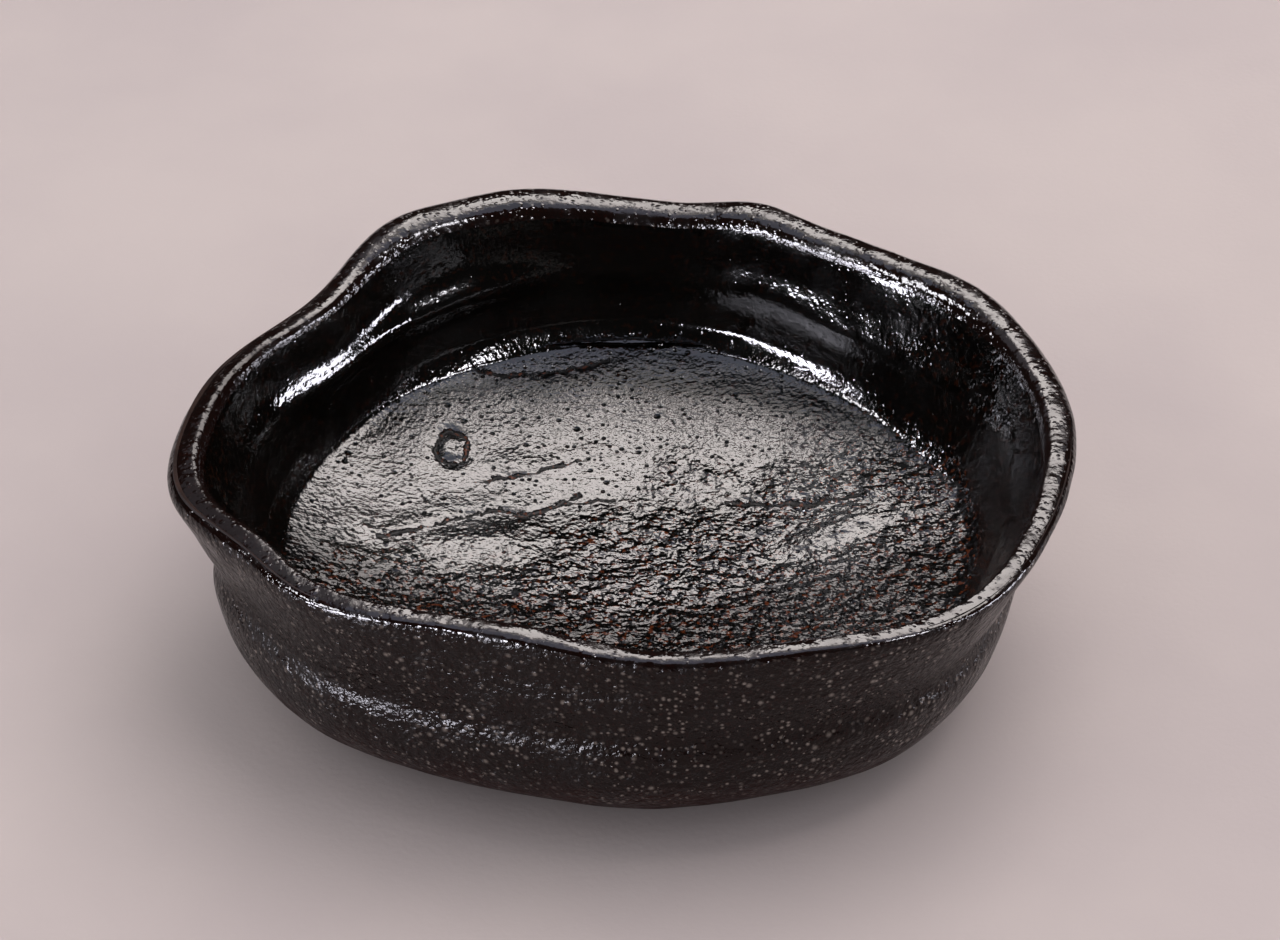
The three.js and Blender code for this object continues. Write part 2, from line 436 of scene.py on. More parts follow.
@dataclass(frozen=True)
class OutsideGlaze:
    """The same glaze, dipped thinner outside and come out of the kiln satin.

    The eye gets a soft dark grey-brown sheen, sparkling on a leathery skin, pale specks where grit shows
    through, black pinholes, and a reddish brown where it thins towards the base. The lip is glossier, but
    for its dry left end. Heights and depths are in millimetres.
    """

    body: str = "#140907"
    thin: str = "#260c07"
    speck: str = "#8f8680"
    leather: float = 1.3
    leather_height: float = 0.6
    fine_grit: Scatter = (1.05, 0.5, 0.9)
    coarse_grit: Scatter = (2.2, 0.75, 0.85)
    grit_height: float = 0.1
    pinholes: Scatter = (6.5, 0.55, 0.4)
    hole_depth: float = 0.7
    gloss: float = 0.16
    lip_gloss: float = 0.3

    def material(self) -> bpy.types.Material:
        """Makes the material.

        Returns:
            The material, with its node tree.
        """
        material, sheet = Sheet.new("black_iron_glaze_dipped_satin")
        right, _, up = sheet.parts(sheet.place())
        wavering = sheet.scaled(sheet.cloud(9, 2), 8 * MM, up)
        low = sheet.ramp(wavering, 13 * MM, 24 * MM, (1, 0))
        facing = add_node(sheet.tree, "ShaderNodeNewGeometry").outputs["Normal"]
        upward = sheet.parts(facing)[2]
        lip = sheet.product(sheet.ramp(up, 38 * MM, 41 * MM), sheet.ramp(upward, 0.2, 0.6))
        plain = sheet.sum("SUBTRACT", 1, sheet.most(sheet.product(low, 0.7), lip))

        grit = sheet.most(sheet.spots(*self.fine_grit), sheet.spots(*self.coarse_grit))
        patches = sheet.ramp(sheet.cloud(8, 3), 0.36, 0.6, (0.25, 1))
        dust = sheet.ramp(sheet.cloud(0.8, 3), 0.52, 0.72, (0, 0.5))
        tinted = sheet.mix(low, linear(self.body), linear(self.thin))
        dusted = sheet.mix(dust, tinted, linear(self.thin))
        bare = sheet.product(sheet.ramp(grit, 0, 0.9), patches, plain, 0.85)
        colour = sheet.mix(bare, dusted, linear(self.speck))

        leathery = sheet.scaled(plain, self.leather_height, 0.1)
        leather = sheet.product(sheet.cloud(self.leather, 2.5), leathery)
        soft = sheet.scaled(sheet.cloud(4.5, 2), 0.35, leather)
        pinholes = sheet.ramp(sheet.spots(*self.pinholes), 0, 0.7)
        holed = sheet.scaled(pinholes, -self.hole_depth, soft)
        height = sheet.scaled(grit, self.grit_height, holed)

        satin = sheet.ramp(sheet.cloud(6, 3), 0.36, 0.64, (0.17, 0.34))
        matted = sheet.scaled(low, 0.2, satin)
        roughness = sheet.scaled(lip, -0.12, matted)
        dry = sheet.product(lip, sheet.ramp(right, -67 * MM, -52 * MM, (1, 0)))
        wet = sheet.sum("SUBTRACT", lip, sheet.product(dry, 0.8))
        sheen = sheet.scaled(wet, self.lip_gloss, self.gloss)
        mirror = sheet.scaled(low, -0.1, sheen)
        surface = {"Base_Color": colour, "Roughness": roughness, "IOR": 1.5, "Specular_IOR_Level": mirror}
        sheet.finish(height, **surface)
        return material


@dataclass(frozen=True)
class FiredStoneware:
    """Dark, gritty stoneware, fired bare and wiped.

    The eye gets a dry, dark brown, mottled paler, with iron spots and grit that stands out. Heights are in
    millimetres.
    """

    body: str = "#20110c"
    pale: str = "#301d15"
    iron: str = "#150c09"
    iron_spots: Scatter = (2.6, 0.5, 0.4)
    tooth: float = 0.14
    grit: Scatter = (1.8, 0.4, 0.5)
    grit_height: float = 0.08

    def material(self) -> bpy.types.Material:
        """Makes the material.

        Returns:
            The material, with its node tree.
        """
        material, sheet = Sheet.new("dark_stoneware_bare")
        mottled = sheet.mix(sheet.ramp(sheet.cloud(7, 4), 0.35, 0.7), linear(self.body), linear(self.pale))
        spotted = sheet.mix(sheet.ramp(sheet.spots(*self.iron_spots), 0.2, 0.7), mottled, linear(self.iron))
        sandy = sheet.product(sheet.cloud(0.6, 4), self.tooth)
        height = sheet.scaled(sheet.spots(*self.grit), self.grit_height, sandy)
        roughness = sheet.ramp(sheet.cloud(3, 2), 0.3, 0.7, (0.75, 0.92))
        sheet.finish(height, Base_Color=spotted, Roughness=roughness, Specular_IOR_Level=0.15)
        return material


@dataclass(frozen=True)
class BackdropPaper:
    """Matt backdrop paper, pale and warm grey.

    The eye gets a faintly mottled sheet. Its tooth is drawn coarser than the real one, so that it shows. The
    tooth's size and height are in millimetres.
    """

    paper: str = "#cfc5c3"
    tint: str = "#c5bbbb"
    tooth: float = 1.2
    tooth_height: float = 0.05

    def material(self) -> bpy.types.Material:
        """Makes the material.

        Returns:
            The material, with its node tree.
        """
        material, sheet = Sheet.new("backdrop_paper")
        colour = sheet.mix(sheet.ramp(sheet.cloud(90, 4), 0.3, 0.7), linear(self.paper), linear(self.tint))
        height = sheet.product(sheet.cloud(self.tooth, 3), self.tooth_height)
        sheet.finish(height, Base_Color=colour, Roughness=0.9)
        return material


# Meshes: helpers


def select_only(*objects: bpy.types.Object) -> None:
    """Deselects everything else and makes the first of these objects active.

    Args:
        *objects: The objects to select.
    """
    bpy.ops.object.select_all(action="DESELECT")
    for each in objects:
        each.select_set(True)
    bpy.context.view_layer.objects.active = objects[0]


def copy_of(node: str, name: str) -> bpy.types.Object:
    """Copies a CAD node's mesh to an object of its own, with the doubles merged and the triangles paired.

    Args:
        node: The CAD node.
        name: The new object's name.

    Returns:
        The copy, at the origin.
    """
    copy = bpy.data.objects.new(name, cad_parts[node].data.copy())
    bpy.context.scene.collection.objects.link(copy)
    copy.data.materials.clear()
    select_only(copy)
    bpy.ops.object.mode_set(mode="EDIT")
    bpy.ops.mesh.select_all(action="SELECT")
    bpy.ops.mesh.remove_doubles(threshold=0.01 * MM)
    bpy.ops.mesh.tris_convert_to_quads(face_threshold=math.pi, shape_threshold=math.pi)
    bpy.ops.object.mode_set(mode="OBJECT")
    return copy


def points_of(mesh: bpy.types.Mesh) -> np.ndarray:
    """Reads a mesh's vertices.

    Args:
        mesh: The mesh.

    Returns:
        Their places in millimetres, one row each.
    """
    flat = np.zeros(len(mesh.vertices) * 3, np.float32)
    mesh.vertices.foreach_get("co", flat)
    return flat.reshape(-1, 3).astype(float) / MM


def set_points(mesh: bpy.types.Mesh, points: np.ndarray) -> None:
    """Moves the mesh's vertices to these places, in millimetres."""
    mesh.vertices.foreach_set("co", (points * MM).astype(np.float32).ravel())
    mesh.update()


def normals_of(mesh: bpy.types.Mesh) -> np.ndarray:
    """Reads a mesh's vertex normals.

    Args:
        mesh: The mesh.

    Returns:
        The normals, one row each.
    """
    flat = np.zeros(len(mesh.vertices) * 3, np.float32)
    mesh.vertex_normals.foreach_get("vector", flat)
    return flat.reshape(-1, 3).astype(float)


def apply_modifier(obj: bpy.types.Object, kind: str, **settings: object) -> None:
    """Adds a modifier to an object and applies it.

    Args:
        obj: The object.
        kind: The modifier's type.
        **settings: The modifier's own settings.
    """
    select_only(obj)
    modifier = obj.modifiers.new(kind.lower(), kind)
    for name, value in settings.items():
        setattr(modifier, name, value)
    bpy.ops.object.modifier_apply(modifier=modifier.name)


def round_through(obj: bpy.types.Object, levels: int, above: float = -1.0) -> None:
    """Subdivides a mesh to a smooth surface that still passes through the points that it had.

    Each try draws the points out by what the smoothing takes away.

    Args:
        obj: The object.
        levels: The levels of subdivision.
        above: The height in millimetres that only points above are held at.
    """
    tries = 6
    goal = points_of(obj.data)
    held = goal[:, 2] > above
    modifier = obj.modifiers.new("rounding", "SUBSURF")
    modifier.levels = 1
    modifier.render_levels = 1
    for _ in range(tries):
        bpy.context.view_layer.update()
        rounded = obj.evaluated_get(bpy.context.evaluated_depsgraph_get())
        reached = points_of(rounded.to_mesh())[: len(goal)]
        rounded.to_mesh_clear()
        set_points(obj.data, points_of(obj.data) + np.where(held[:, None], goal - reached, 0))
    modifier.levels = levels
    modifier.render_levels = levels
    select_only(obj)
    bpy.ops.object.modifier_apply(modifier=modifier.name)


def wander(points: np.ndarray, size: Size, seed: float) -> np.ndarray:
    """Smooth noise from about -1 to 1 at each point, with features of this size along each axis."""
    scaled = points / np.array(size) + seed * 17.3
    return np.array([noise.noise(Vector(point)) for point in scaled])


def ease(value: np.ndarray, low: float, high: float) -> np.ndarray:
    """0 up to low, 1 from high, and smooth between."""
    share = np.clip((value - low) / (high - low), 0, 1)
    return share * share * (3 - 2 * share)


def fade(value: np.ndarray, low: float, high: float) -> np.ndarray:
    """1 up to low, 0 from high, and smooth between."""
    return ease(-value, -high, -low)


def bell(away: np.ndarray, width: float) -> np.ndarray:
    """1 at nothing away, and nothing some widths away."""
    return np.exp(-((away / width) ** 2))


def select_where(obj: bpy.types.Object, wanted: Callable[[bmesh.types.BMVert], bool]) -> None:
    """Selects some vertices, and what lies between them, in edit mode.

    Args:
        obj: The object.
        wanted: The test that a vertex has to pass.
    """
    bpy.ops.mesh.select_all(action="DESELECT")
    bpy.ops.mesh.select_mode(type="VERT")
    mesh = bmesh.from_edit_mesh(obj.data)
    for vertex in mesh.verts:
        vertex.select_set(wanted(vertex))
    mesh.select_flush_mode()
    bmesh.update_edit_mesh(obj.data)


# The marks in the bowl, in millimetres from the middle of its plan


# The size of the waver that makes a mark's edge ragged
RAGGED = (2.2, 2.2, 9)


@dataclass(frozen=True)
class Crease:
    """A fold that the glaze was caught in: a groove along a line, with one side standing higher."""

    line: tuple[Point, ...]
    width: float
    depth: float
    step: float = 0.0

    def height(self, points: np.ndarray) -> np.ndarray:
        """What it adds, least at its two ends.

        Args:
            points: The points.

        Returns:
            The height at each point.
        """
        sway = [wander(points, RAGGED, seed) for seed in (3, 4)]
        warped = points[:, :2] + 1.3 * np.stack(sway, 1)
        nearest = np.full(len(points), 1e9)
        side = np.zeros(len(points))
        reached = np.zeros(len(points))
        total = len(self.line) - 1
        for number, (start, end) in enumerate(zip(self.line, self.line[1:])):
            along = np.subtract(end, start)
            share = np.clip((warped - start) @ along / (along @ along), 0, 1)
            off = warped - (np.array(start) + share[:, None] * along)
            away = np.hypot(off[:, 0], off[:, 1])
            closer = away < nearest
            nearest = np.where(closer, away, nearest)
            side = np.where(closer, np.sign(along[0] * off[:, 1] - along[1] * off[:, 0]), side)
            reached = np.where(closer, (number + share) / total, reached)
        strength = np.sin(np.pi * (0.12 + 0.76 * reached))
        torn = 0.75 + 0.9 * wander(points, (1.9, 1.9, 9), 10)
        groove = -self.depth * torn * bell(nearest, self.width)
        upper = ease(side * nearest, -self.width, self.width)
        return strength * (groove + self.step * upper * bell(nearest, 7 * self.width))


@dataclass(frozen=True)
class Lump:
    """A soft swelling, or a hollow where its rise is below nothing."""

    place: Point
    reach: Point
    rise: float
    turn: float = 0.0

    def height(self, points: np.ndarray) -> np.ndarray:
        """What it adds.

        Args:
            points: The points.

        Returns:
            The height at each point.
        """
        across = points[:, :2] - self.place
        cosine = math.cos(math.radians(self.turn))
        sine = math.sin(math.radians(self.turn))
        along = across[:, 0] * cosine + across[:, 1] * sine
        aside = across[:, 1] * cosine - across[:, 0] * sine
        return self.rise * np.exp(-((along / self.reach[0]) ** 2) - (aside / self.reach[1]) ** 2)


@dataclass(frozen=True)
class RingScar:
    """A blister that burst and healed: a ragged groove round a low middle, open on one side."""

    place: Point
    radius: Point
    width: float
    depth: float
    open_towards: float

    def height(self, points: np.ndarray) -> np.ndarray:
        """What it adds: the groove, and within it a low roll.

        Args:
            points: The points.

        Returns:
            The height at each point.
        """
        across = points[:, :2] - self.place
        bearing = np.arctan2(across[:, 1], across[:, 0])
        far = np.hypot(across[:, 0] / self.radius[0], across[:, 1] / self.radius[1])
        ragged = far + 0.16 * wander(points, RAGGED, 7)
        away = (ragged - 1) * min(self.radius)
        closed = ease(1 - np.cos(bearing - math.radians(self.open_towards)), 0.1, 0.7)
        rolled = 0.45 * bell(away + 1.8 * self.width, self.width)
        return self.depth * closed * (rolled - bell(away, self.width))


@dataclass(frozen=True)
class ThrowingMark:
    """A ridge that a finger left round the wall, or a groove where its rise is below nothing."""

    level: float
    rise: float
    width: float

    def height(self, levels: np.ndarray) -> np.ndarray:
        """What it adds at each of these levels on the wall."""
        return self.rise * bell(levels - self.level, self.width)


FLOOR_MARKS: tuple[Crease | Lump | RingScar, ...] = (
    RingScar((-31, 24.7), (2.8, 3.9), 0.8, 0.4, 10),
    Lump((-22, 21.2), (4.5, 3.2), 0.25, 15),
    Lump((-15, 19.4), (4, 3), 0.25, 10),
    Crease(((-27, 16), (-20, 17.8), (-13, 20.5), (-7, 23)), 0.7, 0.15, 0.12),
    Crease(
        ((-43, 0), (-37, 1.7), (-30, 5.9), (-22, 9.3), (-17, 7.7), (-12, 10.7), (-8, 13.8)), 0.8, 0.25, 0.35
    ),
    Crease(((-12, 10.7), (-6, 12.3), (-2, 12.3)), 0.5, 0.1, 0.1),
    Crease(((-28, 43.8), (-23, 43), (-15, 43.8), (-8, 45.3), (-3, 46.8)), 0.7, 0.15, -0.12),
    Lump((-23, 1), (10, 4.5), 0.6, 8),
    Crease(((18, 11.2), (25, 10.1), (33, 10), (41, 11.2)), 1.4, 0.25, 0.25),
    Lump((36, 2), (10, 3.2), 0.7, 28),
    Lump((-36, -14), (14, 5), -0.3, 0),
)

# Where the wrinkled half of the floor is calm: the rise is the share of the wrinkles that a spot takes away
CALM_SPOTS: tuple[Lump, ...] = (Lump((-23, -3), (12, 5), 0.75, 8), Lump((36, 1), (11, 4.5), 0.7, 28))

# Round the whole wall, and on its left and right at the back alone
WALL_MARKS: tuple[ThrowingMark, ...] = (ThrowingMark(36, 0.25, 2.6), ThrowingMark(30.5, -0.25, 2.8))
LEFT_RIDGE = ThrowingMark(35.8, 1.25, 2.8)
RIGHT_RIDGE = ThrowingMark(34, 0.3, 1.6)


# The pieces


@dataclass
class GlazeCoats:
    """The two pours of glaze, which meet along the seam under the inner edge of the lip.

    They start as one skin, copied from the faces of the CAD coats that show, so that nothing parts them at
    the seam. Sizes are in millimetres.
    """

    # How near to the clay a face of the CAD coats is hidden, and how far apart their two edges may be
    clay_gap: float = 0.65
    seam_gap: float = 0.35

    # The levels of rounding, how thick the coats are, and the share of its faces that a hidden back keeps
    levels: int = 3
    thickness: float = 0.9
    back_kept: float = 0.35

    # How high the floor is at its edge and its middle, and the cells across the grid that is laid there
    floor_edge: float = 21.2
    floor_middle: float = 16.6
    floor_span: int = 18

    # The lip: the height it starts at, its width, the slope of its two ends, and its rounded outer edge
    lip_from: float = 42.0
    lip_width: float = 6.0
    lean_right: float = 0.13
    lean_left: float = 0.38
    lip_round: float = 2.5
    lip_curve: float = 0.12
    lip_sectors: int = 120

    # The outside coat's thin lower edge: the height that it is found under, and how far it runs down and in
    edge_height: float = 9.0
    run: float = 0.6
    run_tuck: float = 0.975

    # Where the floor turns up sooner than the CAD model's: from how far back or left, and how steeply
    back_upturns: tuple[Point, ...] = ((8, 0.0012), (40, 0.002))
    left_upturn: Point = (41, 0.005)

    # Heights: the hand's large and small unevenness, and on the floor the swells and the ripples of the
    # wrinkled half, and the ripples of the calm one
    hand: Point = (0.3, 0.09)
    swell: float = 0.22
    ripple: float = 0.12
    calm_ripple: float = 0.03

    def skin(self, outside: bpy.types.Material, inside: bpy.types.Material) -> bpy.types.Object:
        """Joins what shows of the two CAD coats to one open skin.

        Args:
            outside: The outside coat's material, which marks its faces.
            inside: The inside coat's material, which marks its faces.

        Returns:
            The skin, before it is rounded.
        """
        clay = bmesh.new()
        clay.from_mesh(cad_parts["clay_body"].data)
        surface = BVHTree.FromBMesh(clay)
        clay.free()
        outer = copy_of("outside_glaze", "outside_coat")
        outer.data.materials.append(outside)
        inner = copy_of("inside_glaze", "inside_coat")
        inner.data.materials.append(inside)
        select_only(outer, inner)
        bpy.ops.object.join()
        bpy.ops.object.mode_set(mode="EDIT")
        select_where(outer, lambda vertex: surface.find_nearest(vertex.co)[3] < self.clay_gap * MM)
        bpy.ops.mesh.delete(type="VERT")
        bpy.ops.mesh.select_all(action="SELECT")
        bpy.ops.mesh.remove_doubles(threshold=self.seam_gap * MM)
        self.lay_floor(outer)
        self.run_down(outer)
        bpy.ops.object.mode_set(mode="OBJECT")
        return outer

    def run_down(self, skin: bpy.types.Object) -> None:
        """Lets the outside glaze run down over the bare strip, to a thin edge just above the base.

        Args:
            skin: The skin, in edit mode.
        """
        select_where(skin, lambda vertex: vertex.is_boundary and vertex.co.z < self.edge_height * MM)
        down = {"value": (0, 0, -self.run * MM)}
        bpy.ops.mesh.extrude_region_move(TRANSFORM_OT_translate=down)
        bpy.ops.transform.resize(value=(self.run_tuck, self.run_tuck, 1))

    def lay_floor(self, skin: bpy.types.Object) -> None:
        """Swaps the fan of the floor for an even grid, dished like it.

        Args:
            skin: The skin, in edit mode.
        """
        near = 0.2 * MM

        def in_plane(vertex: bmesh.types.BMVert) -> bool:
            """Whether the vertex is as high as the floor's edge."""
            return abs(vertex.co.z - self.floor_edge * MM) < near

        def on_floor(vertex: bmesh.types.BMVert) -> bool:
            """Whether the vertex lies within the floor's edge."""
            low = vertex.co.z < self.floor_edge * MM - near
            return low and any(face.material_index == 1 for face in vertex.link_faces)

        def on_wall(vertex: bmesh.types.BMVert) -> bool:
            """Whether the vertex carries a face of the wall."""
            return any(not in_plane(corner) for face in vertex.link_faces for corner in face.verts)

        select_where(skin, on_floor)
        bpy.ops.mesh.delete(type="VERT")
        select_where(skin, lambda vertex: vertex.is_boundary and in_plane(vertex))
        bpy.ops.mesh.fill_grid(span=self.floor_span, offset=self.floor_span // 2)
        select_where(skin, lambda vertex: in_plane(vertex) and not on_wall(vertex))
        bpy.ops.mesh.vertices_smooth(factor=0.5, repeat=8)
        mesh = bmesh.from_edit_mesh(skin.data)
        edge = [vertex.co for vertex in mesh.verts if in_plane(vertex) and on_wall(vertex)]
        edge.sort(key=lambda place: math.atan2(place.y, place.x))
        bearings = [math.atan2(place.y, place.x) for place in edge]
        reaches = [place.xy.length for place in edge]
        for vertex in mesh.verts:
            if vertex.select:
                bearing = math.atan2(vertex.co.y, vertex.co.x)
                share = vertex.co.xy.length / np.interp(bearing, bearings, reaches, period=2 * math.pi)
                rise = (self.floor_edge - self.floor_middle) * min(share, 1) ** 2
                vertex.co.z = (self.floor_middle + rise) * MM
                for face in vertex.link_faces:
                    face.material_index = 1
        bmesh.update_edit_mesh(skin.data)

    def lean_lip(self, points: np.ndarray) -> np.ndarray:
        """Leans the lip outwards, most at the bowl's two ends, and rounds its outer edge.

        Args:
            points: The points, in millimetres.

        Returns:
            How far each point drops, in millimetres.
        """
        sectors = self.lip_sectors
        bearing = np.arctan2(points[:, 1], points[:, 0])
        reach = np.hypot(points[:, 0], points[:, 1])
        sector = ((bearing / (2 * np.pi) + 0.5) * sectors).astype(int) % sectors
        furthest = np.zeros(sectors)
        np.maximum.at(furthest, sector, np.where(points[:, 2] > self.lip_from, reach, 0))
        middles = ((np.arange(sectors) + 0.5) / sectors - 0.5) * 2 * np.pi
        inward = np.interp(bearing, middles, furthest, period=2 * np.pi) - reach
        slope = np.where(points[:, 0] > 0, self.lean_right, self.lean_left) * np.cos(bearing) ** 2
        leaned = 0.7 * slope * self.lip_width * fade(inward / self.lip_width, 0, 0.9)
        rounded = self.lip_curve * np.maximum(self.lip_round - inward, 0) ** 2
        return (leaned + rounded) * ease(points[:, 2], self.lip_from - 8, self.lip_from + 3)

    def thrown(self, points: np.ndarray) -> np.ndarray:
        """The throwing marks on the wall inside, which the hand left higher at the back on both sides.

        Args:
            points: The points, in millimetres.

        Returns:
            The height to add at each point, in millimetres.
        """
        level = points[:, 2] + 1.5 * wander(points, (40, 40, 60), 5)
        behind = ease(points[:, 1], 8, 30)
        left = behind * ease(-points[:, 0], 8, 36)
        right = behind * ease(points[:, 0], 28, 40) * fade(points[:, 0], 48, 60)
        turned = sum(mark.height(level) for mark in WALL_MARKS)
        return turned + left * LEFT_RIDGE.height(level) + right * RIGHT_RIDGE.height(level)

    def upturn(self, points: np.ndarray) -> np.ndarray:
        """How much sooner the floor turns up at the back and the left than the CAD model's.

        Args:
            points: The points, in millimetres.

        Returns:
            The height to add at each point, in millimetres.
        """
        back = sum(steep * np.maximum(points[:, 1] - start, 0) ** 2 for start, steep in self.back_upturns)
        start, steep = self.left_upturn
        return back + steep * np.maximum(-points[:, 0] - start, 0) ** 2

    def relief(self, points: np.ndarray, normals: np.ndarray, inside: np.ndarray) -> np.ndarray:
        """What the hand, the wheel and the kiln add square to the surface.

        Args:
            points: The points, in millimetres.
            normals: The surface's normals there.
            inside: Whether each point belongs to the inside coat.

        Returns:
            The height to add at each point, in millimetres.
        """
        height = points[:, 2]
        floor = inside * fade(height, *FLOOR_ENDS)
        wall = inside * ease(height, 23, 28) * fade(height, 41, 46)
        uneven = self.hand[0] * wander(points, (17, 17, 13), 1) + self.hand[1] * wander(points, (6, 6, 6), 2)
        drift = -points[:, 1] + WRINKLED_SLANT * points[:, 0] + 12 * wander(points, (22, 22, 22), 6)
        calm = np.minimum(sum(spot.height(points) for spot in CALM_SPOTS), 1)
        rough = ease(drift, WRINKLED_FROM, WRINKLED_BY) * (1 - calm)
        swells = self.swell * rough * wander(points, (11, 8, 11), 10)
        ripples = 0.6 * wander(points, (4.4, 3.2, 5), 8) + 0.6 * wander(points, (2.5, 1.9, 3), 9)
        marks = sum(mark.height(points) for mark in FLOOR_MARKS)
        flat = ease(normals[:, 2], 0.75, 0.95)
        cooled = marks + swells + (self.calm_ripple + self.ripple * rough) * ripples
        return uneven + wall * self.thrown(points) + floor * (self.upturn(points) + flat * cooled)

    def thicken(self, coat: bpy.types.Object) -> None:
        """Closes a coat: its back follows its front, and is thinned, because the clay hides it.

        Args:
            coat: The coat, as an open skin.
        """
        back = coat.vertex_groups.new(name="back")
        apply_modifier(
            coat,
            "SOLIDIFY",
            thickness=self.thickness * MM,
            offset=-1,
            use_even_offset=True,
            shell_vertex_group=back.name,
        )
        # The ratio counts the whole coat, and its back is half of it
        apply_modifier(coat, "DECIMATE", ratio=0.5 * (1 + self.back_kept), vertex_group=back.name)
        coat.vertex_groups.clear()

    def part_coats(
        self, skin: bpy.types.Object, outside: bpy.types.Material, inside: bpy.types.Material
    ) -> list[bpy.types.Object]:
        """Parts the skin in two along the seam and names the coats.

        Args:
            skin: The finished skin.
            outside: The outside coat's material.
            inside: The inside coat's material.

        Returns:
            The outside coat and the inside coat.
        """
        select_only(skin)
        bpy.ops.object.mode_set(mode="EDIT")
        bpy.ops.mesh.select_all(action="SELECT")
        bpy.ops.mesh.separate(type="MATERIAL")
        bpy.ops.object.mode_set(mode="OBJECT")
        coats = {}
        for coat in list(bpy.context.selected_objects):
            material = coat.data.materials[coat.data.polygons[0].material_index]
            coats[material.name] = coat
            # Neither coat may hold the other's name while they are named
            coat.name = "coat_part"
        coats[outside.name].name = "outside_coat"
        coats[inside.name].name = "inside_coat"
        return [coats[outside.name], coats[inside.name]]

    def build(self, outside: bpy.types.Material, inside: bpy.types.Material) -> list[bpy.types.Object]:
        """Builds both coats.

        Args:
            outside: The outside coat's material.
            inside: The inside coat's material.

        Returns:
            The outside coat and the inside coat.
        """
        skin = self.skin(outside, inside)
        round_through(skin, self.levels, self.floor_edge + 0.3)
        mesh = skin.data
        within = np.zeros(len(mesh.vertices), bool)
        for face in mesh.polygons:
            if face.material_index == 1:
                within[list(face.vertices)] = True
        points = points_of(mesh)
        points[:, 2] -= self.lean_lip(points)
        set_points(mesh, points)
        normals = normals_of(mesh)
        set_points(mesh, points + normals * self.relief(points, normals, within)[:, None])
        fit_inside(mesh)
        coats = self.part_coats(skin, outside, inside)
        for coat in coats:
            self.thicken(coat)
        return coats


def fit_inside(mesh: bpy.types.Mesh) -> None:
    """Draws a mesh in where it stands out of the CAD model's box.

    Args:
        mesh: The mesh.
    """
    points = points_of(mesh)
    low, high = (np.array(corner) / MM for corner in cad_box)
    middle = np.array([0, 0, low[2]])
    for limit, reached in ((low, points.min(0)), (high, points.max(0))):
        for axis in range(3):
            span = limit[axis] - middle[axis]
            if abs(span) > 1 and abs(reached[axis] - middle[axis]) > abs(span):
                over = np.sign(span) * (points[:, axis] - middle[axis]) > 0
                points[over, axis] *= span / (reached[axis] - middle[axis])
    set_points(mesh, points)


@dataclass
class ClayBody:
    """The thrown wall and floor under the glaze, bare underneath, where the turning tool left rings.

    Sizes are in millimetres.
    """

    levels: int = 2
    clear_of_floor: float = 1.2

    # The base: how high and how wide it is at most, and the cells across the grid that is laid there
    base_top: float = 7.8
    base_reach: float = 30.0
    base_span: int = 18

    # What the tool left: rings this far apart, a hollow, and a nub in the middle of it
    ring_step: float = 5.0
    ring_depth: float = 0.14
    hollow_depth: float = 1.4
    hollow_edge: Point = (13, 20)
    nub_height: float = 0.6
    nub_reach: float = 4.0

    def lay_base(self, clay: bpy.types.Object) -> None:
        """Swaps the long triangles of the base for an even grid.

        Args:
            clay: The clay body, before it is rounded.
        """

        def in_base(vertex: bmesh.types.BMVert) -> bool:
            """Whether the vertex belongs to the base, within its edge."""
            return vertex.co.z < self.base_top * MM and vertex.co.xy.length < self.base_reach * MM

        bpy.ops.object.mode_set(mode="EDIT")
        select_where(clay, in_base)
        bpy.ops.mesh.delete(type="VERT")
        select_where(clay, lambda vertex: vertex.is_boundary)
        bpy.ops.mesh.fill_grid(span=self.base_span, offset=self.base_span // 2)
        bpy.ops.object.mode_set(mode="OBJECT")

    def build(self) -> bpy.types.Object:
        """Builds the clay body.

        Returns:
            The clay body, as thrown_body.
        """
        clay = copy_of("clay_body", "thrown_body")
        self.lay_base(clay)
        round_through(clay, self.levels)
        points = points_of(clay.data)
        normals = normals_of(clay.data)
        under = ease(-normals[:, 2], 0.5, 0.9)
        covered = ease(normals[:, 2], 0.5, 0.9) * fade(points[:, 2], *FLOOR_ENDS)
        points[:, 2] -= self.clear_of_floor * covered
        reach = np.hypot(points[:, 0], points[:, 1])
        turn = 2 * np.pi * reach / self.ring_step + 2 * wander(points, (30, 30, 30), 11)
        rings = self.ring_depth * np.sin(turn)
        gritty = 0.12 * wander(points, (3, 3, 3), 12)
        hollow = self.hollow_depth * (1 - ease(reach, *self.hollow_edge))
        lifted = points + normals * (under * (rings + gritty))[:, None]
        lifted[:, 2] += under * (hollow - self.nub_height * bell(reach, self.nub_reach))
        set_points(clay.data, lifted)
        return clay


@dataclass
class FootRing:
    """The coil foot, pinched slightly uneven and worn flat where it stands."""

    levels: int = 3

    def build(self) -> bpy.types.Object:
        """Builds the foot.

        Returns:
            The foot, as coil_foot.
        """
        foot = copy_of("foot_ring", "coil_foot")
        round_through(foot, self.levels)
        points = points_of(foot.data)
        side = ease(points[:, 2], 0.4, 2)
        pinched = 0.3 * wander(points, (9, 9, 6), 13) + 0.1 * wander(points, (3, 3, 3), 14)
        points += normals_of(foot.data) * (side * pinched)[:, None]
        points[:, 2] = np.maximum(points[:, 2], 0)
        set_points(foot.data, points)
        return foot


# The studio


class Role(Enum):
    """What a lamp is there for."""

    REFLECTION = "seen in the glaze only"
    SHADE = "lights the paper, and throws the shadow"


